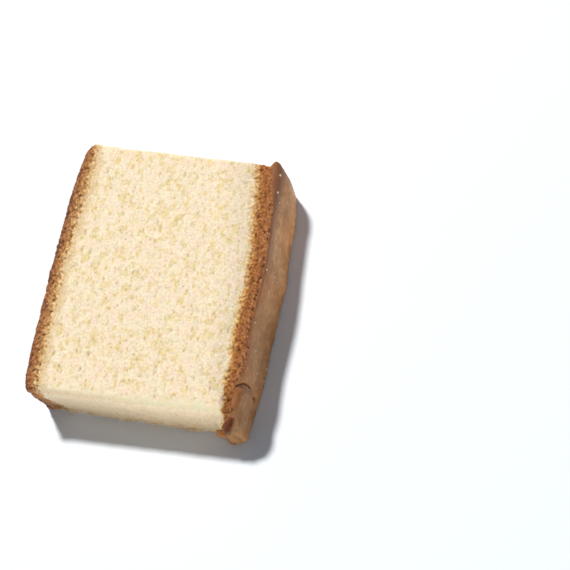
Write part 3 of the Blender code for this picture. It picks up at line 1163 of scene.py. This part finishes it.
@dataclass(frozen=True)
class SkinFinish(Finish):
    """Smooth satin top skin in uneven tan and brown."""

    tan: Colour = (0.540, 0.288, 0.125)
    brown: Colour = (0.450, 0.215, 0.086)
    warm: Colour = (0.410, 0.170, 0.067)
    rim: Colour = (0.460, 0.178, 0.055)
    mauve: Colour = (0.295, 0.130, 0.058)
    tip: Colour = (0.205, 0.080, 0.042)
    tip_y: Pair = (26 * MM, 38 * MM)
    # Painted shade where the skin faces up.
    turned: Colour = (0.285, 0.115, 0.048)
    # Painted shade in the skin's crease, its pit and the hollow.
    burnt: Colour = (0.230, 0.066, 0.022)
    paler: float = 1.38
    paler_y: Pair = (-16 * MM, 16 * MM)
    # Painted shade on the flap at the near end.
    flap: float = 0.75
    flap_y: Pair = (-38 * MM, -43 * MM)
    # Towards the floor: painted shade at the near half, painted light at the far end, and a warmer tint all
    # along.
    low: Pair = (0.83, 1.18)
    low_y: Pair = (-2 * MM, 28 * MM)
    low_z: Pair = (2 * MM, 14 * MM)
    low_warm: Colour = (1.01, 0.93, 0.84)
    rim_z: Pair = (17 * MM, 23 * MM)
    rimmed: float = 0.9
    patches: Spots = Spots(9 * MM, (-0.15, 0.15), FINE)
    streaks: Spots = Spots(1.1 * MM, (0.0, 0.25))
    streak_stretch: Triple = (1.0, 1.0, 0.22)
    streaked: float = 0.7
    mottled: tuple[Grain, Grain] = (Grain(2.4 * MM, 0.9, FINE), Grain(0.9 * MM, 0.4))
    # Where the painted shade of crease, pit and hollow sets in.
    burnt_from: tuple[float, ...] = (0.3, 0.8, 0.0, 0.9)
    satin: Spots = Spots(9 * MM, (-0.2, 0.2), FINE)
    glossy: float = -0.06
    dull: float = 0.14

    def look(self, tree: Tree, place: Socket) -> Look:
        """How the surface looks at a place.

        Args:
            tree: the material's tree.
            place: the place.

        Returns:
            The colour, the roughness and the height of the finest relief there.
        """
        _, along, height = tree.parts(place)
        body = tree.mixed(tree.spots(place, self.patches), self.tan, self.brown)
        streaks = tree.spots(tree.stretched(place, self.streak_stretch), self.streaks, self.streaked)
        half = tree.mixed(tree.rise(along, *self.paler_y), self.rim, self.mauve)
        rim = tree.mixed(tree.rise(along, *self.tip_y), half, self.tip)
        edged = tree.mixed(
            tree.rise(height, *self.rim_z, 0.0, self.rimmed), tree.mixed(streaks, body, self.warm), rim)
        # Paler towards the far end, with painted shade on the flap, and towards the floor painted shade at
        # the near half and painted light at the far end.
        faded = tree.scaled(edged, tree.product(
            tree.rise(along, *self.paler_y, 1.0, self.paler), tree.rise(along, *self.flap_y, 1.0, self.flap),
            tree.rise(height, *self.low_z, tree.rise(along, *self.low_y, *self.low), 1.0),
            *(tree.total(1.0, tree.grain(place, mottled)) for mottled in self.mottled)))
        low = tree.rise(height, *self.low_z, 1.0, 0.0)
        foot = tree.mixed(low, faded, tree.stretched(faded, self.low_warm))
        # Painted shade where the skin faces up, stronger towards the far end.
        turned = tree.mixed(tree.attribute("turned"), foot, self.turned)
        # Painted shade in the crease, the pit and the hollow.
        dark = tree.mixed(tree.rise(self.scorch(tree, place), *self.burnt_from), turned, self.burnt)
        shine = tree.total(self.roughness + self.glossy, tree.spots(place, self.satin, self.dull))
        return dark, shine, 0.0


@dataclass(frozen=True)
class Band:
    """How far the crumb is browned in from one crust.

    The reach is given in mm at places along the slice, end is its factor on the end cuts, and foot is
    how much that factor grows towards the near cut's foot.
    """

    reach: tuple[Pair, ...]
    end: float
    foot: float
    foot_z: Pair
    foot_y: Pair = (20 * MM, 10 * MM)

    def share(self, points: Array, inwards: Array, end_cut: Array) -> Array:
        """How far points lie in from the crust, as shares of how far the browning reaches there.

        Args:
            points: points of the smooth form.
            inwards: how far each lies in from the crust.
            end_cut: how much each belongs to an end cut.

        Returns:
            The shares.
        """
        foot = self.foot * smooth(*self.foot_y, points[:, Y]) * smooth(*self.foot_z, points[:, Z])
        reach = np.interp(points[:, Y] / MM, *zip(*self.reach)) * MM
        return inwards / (reach * (1 + (self.end + foot - 1) * end_cut))


@dataclass(frozen=True)
class Slice:
    """The slice itself: one closed mesh of the solid's form, with its relief and finishes."""

    form: SliceForm = SliceForm()
    sizes: CrumbSizes = CrumbSizes()
    crust_band: Band = Band(
        ((0, 6.4), (30, 6.6), (60, 7.0), (85, 7.8), (95, 6.6), (102, 3.6)),
        end=1.05, foot=0.9, foot_z=(16 * MM, 3 * MM))
    skin_band: Band = Band(
        ((0, 3.4), (5, 4.2), (10, 6.2), (16, 6.8), (28, 7.2), (45, 7.7), (60, 8.4), (88, 9.5), (98, 11.6)),
        end=1.15, foot=1.7, foot_z=(20 * MM, 9 * MM))
    band_reach: float = 9.0 * MM
    band_step: float = 0.27 * MM
    open_step: float = 0.45 * MM
    near_reach: float = 15.0 * MM
    near_step: float = 0.33 * MM
    far_step: float = 0.44 * MM
    up_step: float = 0.57 * MM
    under_step: float = 0.85 * MM
    turned: Pair = (0.0, 0.9)
    turned_y: Pair = (8 * MM, 24 * MM)
    # How the hollow's depth turns into painted shade.
    scorched: Pair = (0.05, 0.5)
    fringe: Pair = (-0.75, 0.3)
    square: tuple[tuple[int, int], ...] = ((0, 0), (1, 0), (1, 1), (0, 1))
    jitter: float = 0.3
    seed: int = 5
    merge: float = 1e-6
    middle: Pair = (38.7472 * MM, 49.1638 * MM)

    def stations(self) -> list[Array]:
        """Places of the block's grid along each of its sides, closer together where there is more to show.

        Returns:
            The places across, along and up it.
        """
        form = self.form
        band = np.arange(0, self.band_reach, self.band_step)
        return [
            np.concatenate((band, even(self.band_reach, form.rise - self.band_reach, self.open_step),
                            form.rise - band[::-1])),
            np.concatenate((np.arange(0, self.near_reach, self.near_step),
                            even(self.near_reach, form.length, self.far_step))),
            even(0, form.thickness, self.up_step),
        ]

    def block(self) -> tuple[Array, Faces]:
        """The plain block's surface.

        Returns:
            Its places, and its faces as lists of place numbers.
        """
        stations, edge = self.stations(), self.form.edge_radius
        steps = [len(places) - 1 for places in stations]
        quads = []
        for axis in (X, Y, Z):
            others = [(axis + 1) % 3, (axis + 2) % 3]
            cells = np.meshgrid(*(range(steps[other]) for other in others), indexing="ij")
            cells = np.stack(cells, axis=-1).reshape(-1, 1, 2)
            # A cell's corners are taken in the turn that lets its face look outwards.
            for end, order in ((0, (0, 3, 2, 1)), (steps[axis], (0, 1, 2, 3))):
                quad = np.full((len(cells), 4, 3), end)
                quad[:, :, others] = cells + np.array(self.square)[list(order)]
                quads.append(quad)
        lattice = np.concatenate(quads)
        low = [int(np.searchsorted(places, edge)) for places in stations[:Z]]
        high = [int(np.searchsorted(places, places[-1] - edge)) - 1 for places in stations[:Z]]
        flat = lattice[:, :, :Z]
        within = (flat >= low).all(axis=2) & (flat <= high).all(axis=2)
        inside = ((lattice[:, :, Z] == 0) & within).all(axis=1)
        corners, index = np.unique(lattice[~inside].reshape(-1, 3), axis=0, return_inverse=True)
        places = np.stack([stations[axis][corners[:, axis]] for axis in range(3)], axis=1)
        return self.with_underside(places, index.reshape(-1, 4).tolist(), corners, (low, high))

    def with_underside(
            self, places: Array, faces: Faces, corners: Array, opening: tuple[list[int], list[int]],
    ) -> tuple[Array, Faces]:
        """Closes the block with a coarser underside.

        Args:
            places: the block's places so far.
            faces: its faces so far.
            corners: the lattice numbers of its places.
            opening: the lattice numbers between which the underside is still open.

        Returns:
            All places and all faces.
        """
        low, high = opening
        bottom = np.flatnonzero(corners[:, Z] == 0)
        number = {tuple(corner[:2]): int(spot) for corner, spot in zip(corners[bottom].tolist(), bottom)}
        loop = [(x, low[1]) for x in range(low[0], high[0])] + [(high[0], y) for y in range(low[1], high[1])]
        loop += [(x, high[1]) for x in range(high[0], low[0], -1)]
        loop += [(low[0], y) for y in range(high[1], low[1], -1)]
        ring = [number[spot] for spot in loop]
        start, end = places[number[tuple(low)], :2], places[number[tuple(high)], :2]
        counts = np.round((end - start) / self.under_step).astype(int)
        grid = np.meshgrid(*(np.arange(1, count) / count for count in counts))
        grid = np.stack(grid, axis=-1).reshape(-1, 2)
        draw = np.random.default_rng(self.seed)
        grid += draw.uniform(-self.jitter, self.jitter, grid.shape) / counts
        inner = start + grid * (end - start)
        flat = np.concatenate((places[ring, :2], inner)) / MM
        edges = [(spot, (spot + 1) % len(ring)) for spot in range(len(ring))]
        made = delaunay_2d_cdt([Vector(spot) for spot in flat.tolist()], edges, [], INSIDE, self.merge)
        source = [first[0] for first in made[3]]
        numbers = ring + list(range(len(places), len(places) + len(inner)))
        under = [[numbers[source[corner]] for corner in reversed(face)] for face in made[2]]
        floor = np.concatenate((inner, np.zeros((len(inner), 1))), axis=1)
        return np.concatenate((places, floor)), faces + under

    def shaped(self) -> Mesh:
        """The slice without its fine relief, with what each point's finish needs to know.

        Returns:
            The mesh.
        """
        form = self.form
        places, faces = self.block()
        shares = form.worn_shares(places)
        points = form.smooth_points(shares)
        mesh = bpy.data.meshes.new(NODE)
        mesh.from_pydata(points.tolist(), [], faces)
        normals = np.empty(len(points) * 3, np.float32)
        mesh.vertex_normals.foreach_get("vector", normals)
        normals = normals.reshape(-1, 3).astype(float)
        facing = form.facing(normals)
        inwards = form.skin_x(shares[:, Y], shares[:, Z]) - points[:, X]
        near = smooth(*form.side_edge, -normals[:, Y])
        hollow = form.hollow.open(points) * near
        notch = form.notch.open(points, shares[:, Z], form.length)
        lip = form.lip.share(points) * near
        moved = points + normals * form.relief(points, facing, inwards)[:, None]
        moved[:, Y] += form.hollow.depth * hollow - form.notch.depth * notch
        moved[:, Y] -= form.flap.tongue(points, inwards) + form.lip.reach(points) * near
        moved[:, Z] *= 1 - form.flap.curl(points, inwards)
        under = places[:, Z] < form.edge_radius / 2
        moved[under, Z] = points[under, Z]
        moved[:, :Z] -= self.middle
        mesh.vertices.foreach_set("co", moved.astype(np.float32).ravel())

        skinned = form.skin_edge.skinned(points, inwards, near, facing[Side.SKIN])
        end_cut = smooth(*form.side_edge, np.abs(normals[:, Y]))
        from_crust = points[:, X] - form.crust_x(shares[:, Y])
        far = form.length + form.far_proud - points[:, Y]
        gaps = np.stack((points[:, Z], form.thickness - points[:, Z], points[:, Y], far))
        notes = {
            Side.CUT.value: 1 - np.maximum(facing[Side.CRUST], skinned),
            Side.CRUST.value: facing[Side.CRUST],
            Side.SKIN.value: skinned,
            "crust_share": self.crust_band.share(points, from_crust, end_cut),
            "skin_share": self.skin_band.share(points, inwards, end_cut),
            "from_edge": gaps.min(axis=0),
            "end_cut": end_cut,
            "lip": lip,
            # Painted shade on skin that faces up, stronger towards the far end.
            "turned": smooth(*self.turned, normals[:, Z]) * (1 + smooth(*self.turned_y, points[:, Y])) / 2,
            # Where the painted highlight lies: faces that lean towards the near end, chiefly the rolled near
            # edge.
            "fringe": bell((normals[:, Y] - self.fringe[0]) / self.fringe[1]),
            # Painted shade in the hollow, the flap's crease and its pit.
            "burnt": np.maximum(smooth(*self.scorched, hollow), form.flap.crease(points) * facing[Side.SKIN]),
        }
        for name, values in notes.items():
            mesh.attributes.new(name, "FLOAT", "POINT").data.foreach_set("value", values.astype(np.float32))
        mesh.shade_smooth()
        mesh.update()
        return mesh

    def build(self, materials: Finishes) -> Piece:
        """Makes the slice, in place of its plain solid.

        Args:
            materials: the material of each side.

        Returns:
            The piece.
        """
        piece = placed("slice", self.shaped())
        piece.data = SliceRelief(self.sizes).applied(piece, materials)
        return dressed(piece)


@dataclass(frozen=True)
class BallSizes:
    """The sizes that the tree of the loose crumbs takes."""

    radius: float = 0.42 * MM
    knob_size: float = 0.5 * MM
    knob_height: float = 0.55 * MM
    smallest: float = 0.45
    largest: float = 1.15


@dataclass(frozen=True)
class LooseCrumbs:
    """Small crumbs that stick to the skin and the crust."""

    seen: tuple[Triple, ...] = (
        (38.5, 6.0, 23.0), (41.0, -28.9, 2.8), (41.0, -24.1, 2.5), (38.4, 45.2, 24.0), (39.9, 38.0, 23.8),
        (41.3, 35.3, 21.0), (-41.2, 11.3, 25.0))
    scattered: int = 14
    skin_share: float = 0.6
    within: float = 0.95
    least_z: float = 2 * MM
    roundness: int = 3
    sizes: BallSizes = BallSizes()
    seed: int = 17

    def build(self, carrier: Piece, material: Material) -> Piece:
        """Makes the crumbs.

        Args:
            carrier: the slice that they stick to.
            material: their finish.

        Returns:
            The piece.
        """
        mesh = bpy.data.meshes.new("loose_crumbs")
        mesh.from_pydata(self.seats(carrier), [], [])
        piece = placed("loose_crumbs", mesh)
        tree = GeometryTree("loose_crumbs", self.sizes)
        ball = tree.node("GeometryNodeMeshIcoSphere", {
            "Radius": tree.size("radius"), "Subdivisions": self.roundness})
        place = tree.node("GeometryNodeInputPosition").outputs[0]
        knobs = tree.product(tree.noise(place, tree.size("knob_size")), tree.size("knob_height"))
        push = tree.scaled(tree.node("GeometryNodeInputNormal").outputs[0], knobs)
        lump = tree.node("GeometryNodeSetPosition", {"Geometry": ball.outputs[0], "Offset": push})
        turn = tree.node(
            "FunctionNodeRandomValue", {1: (math.tau,) * 3, "Seed": self.seed}, data_type="FLOAT_VECTOR")
        scale = tree.node("FunctionNodeRandomValue", {
            2: tree.size("smallest"), 3: tree.size("largest"), "Seed": self.seed + 1}, data_type="FLOAT")
        copies = tree.node("GeometryNodeInstanceOnPoints", {
            "Points": tree.start[0], "Instance": lump.outputs[0],
            "Rotation": turn.outputs[0], "Scale": live(scale.outputs, "Value")})
        tree.finish(copies.outputs[0], {Side.CUT: material})
        piece.data = tree.applied(piece)
        piece.data.shade_smooth()
        return dressed(piece)

    def seats(self, carrier: Piece) -> list[Vector]:
        """Where crumbs sit on the slice: those that are seen, then a few more on skin and crust.

        Args:
            carrier: the slice.

        Returns:
            Places on its surface.
        """
        points, faces = carrier.data.vertices, carrier.data.polygons
        surface = BVHTree.FromPolygons([point.co for point in points], [face.vertices for face in faces])
        draw = np.random.default_rng(self.seed)
        low, high = CAD_BOX
        wanted = [Vector(spot) * MM for spot in self.seen]
        for _ in range(self.scattered):
            x = high.x if draw.random() < self.skin_share else low.x
            y = draw.uniform(low.y, high.y) * self.within
            wanted.append(Vector((x, y, draw.uniform(self.least_z, high.z))))
        return [surface.find_nearest(spot)[0] for spot in wanted]


@dataclass(frozen=True)
class Lamp:
    """A soft disc of light that shines on the slice."""

    name: str
    power: float
    width: float
    distance: float
    travel: Triple

    def hang(self) -> None:
        """Puts the lamp up."""
        disc = bpy.data.lights.new(self.name, "AREA")
        disc.shape = "DISK"
        disc.energy = self.power
        disc.size = self.width
        lamp = placed(self.name, disc)
        travel = Vector(self.travel).normalized()
        lamp.location = -travel * self.distance
        lamp.rotation_mode = "QUATERNION"
        lamp.rotation_quaternion = travel.to_track_quat("-Z", "Y")


@dataclass(frozen=True)
class Studio:
    """A white floor, a key light behind the slice, a low soft fill before it, an even sky and the camera."""

    floor_width: float = 20.0
    floor_colour: Colour = (0.905, 0.937, 0.970)
    floor_roughness: float = 0.9
    floor_specular: float = 0.1
    sky_colour: Colour = (0.90, 1.0, 1.16)
    sky: float = 0.142
    lamps: tuple[Lamp, ...] = (
        Lamp("key", 111.0, 0.36, 3.2, (0.41, -0.46, -1.0)),
        Lamp("fill", 11.0, 0.44, 1.6, (-0.25, 0.95, -0.11)),
    )

    lens: float = 75.8
    azimuth: float = math.radians(26.88)
    elevation: float = math.radians(62.67)
    roll: float = math.radians(19.44)
    distance: float = 455.0 * MM
    nearest: float = 10 * MM
    aim: Triple = (41.4 * MM, 11.26 * MM, 0.0)

    def build(self) -> None:
        """Sets up the whole studio."""
        self.lay_floor()
        for lamp in self.lamps:
            lamp.hang()
        self.light_sky()
        self.set_camera()
        bpy.context.scene.view_settings.view_transform = "Standard"

    def lay_floor(self) -> None:
        """The floor, on which the slice lies."""
        half = self.floor_width / 2
        corners = [(x * half, y * half, 0) for x, y in ((-1, -1), (1, -1), (1, 1), (-1, 1))]
        mesh = bpy.data.meshes.new("floor")
        mesh.from_pydata(corners, [], [(0, 1, 2, 3)])
        material = bpy.data.materials.new("floor")
        material.use_nodes = True
        tree = Tree(material.node_tree)
        shader = tree.node("ShaderNodeBsdfPrincipled", {
            "Base Color": opaque(self.floor_colour), "Roughness": self.floor_roughness,
            "Specular IOR Level": self.floor_specular})
        tree.node("ShaderNodeOutputMaterial", {"Surface": shader.outputs[0]})
        mesh.materials.append(material)
        placed("floor", mesh)

    def light_sky(self) -> None:
        """The even sky."""
        world = bpy.data.worlds.new("sky")
        world.use_nodes = True
        tree = Tree(world.node_tree)
        sky = tree.node("ShaderNodeBackground", {"Color": opaque(self.sky_colour), "Strength": self.sky})
        tree.node("ShaderNodeOutputWorld", {"Surface": sky.outputs[0]})
        bpy.context.scene.world = world

    def set_camera(self) -> None:
        """The camera, at the photograph's angle and distance."""
        level, up = math.cos(self.elevation), math.sin(self.elevation)
        back = Vector((math.sin(self.azimuth) * level, -math.cos(self.azimuth) * level, up))
        lens = bpy.data.cameras.new("camera")
        lens.lens = self.lens
        lens.clip_start = self.nearest
        camera = placed("camera", lens)
        camera.location = Vector(self.aim) + back * self.distance
        camera.rotation_mode = "QUATERNION"
        camera.rotation_quaternion = (-back).to_track_quat("-Z", "Y") @ Quaternion((0, 0, 1), -self.roll)
        bpy.context.scene.camera = camera


def placed(name: str, data: Any) -> Piece:
    """A new object at the origin, in the scene."""
    made = bpy.data.objects.new(name, data)
    bpy.context.scene.collection.objects.link(made)
    return made


def dressed(piece: Piece) -> Piece:
    """Ties a piece to the body, hides the solid of the node that it stands for, and reports it.

    Args:
        piece: the piece.

    Returns:
        The same piece.
    """
    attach(piece, BODY)
    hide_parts(NODE)
    mesh = piece.data
    mesh.calc_loop_triangles()
    LOG.info("%s: %d triangles, materials %s", piece.name, len(mesh.loop_triangles),
             ", ".join(material.name for material in mesh.materials if material))
    return piece


def main() -> None:
    """Builds the slice, its crumbs and the studio, in that order."""
    logging.basicConfig(level=logging.INFO, format="%(name)s %(message)s", stream=sys.stdout)
    materials = {
        Side.CUT: CrumbFinish(softness=0.6, soft_reach=4 * MM).material("crumb"),
        Side.CRUST: CrustFinish(roughness=0.8, softness=0.05, grit=0.5).material("bottom_crust"),
        Side.SKIN: SkinFinish(roughness=0.5, specular=0.14, softness=0.08, grit=0.08).material("top_skin"),
    }
    piece = Slice().build(materials)
    LooseCrumbs().build(piece, SpeckFinish(grit=0.4).material("loose_crumb"))
    Studio().build()


if __name__ == "__main__":
    main()
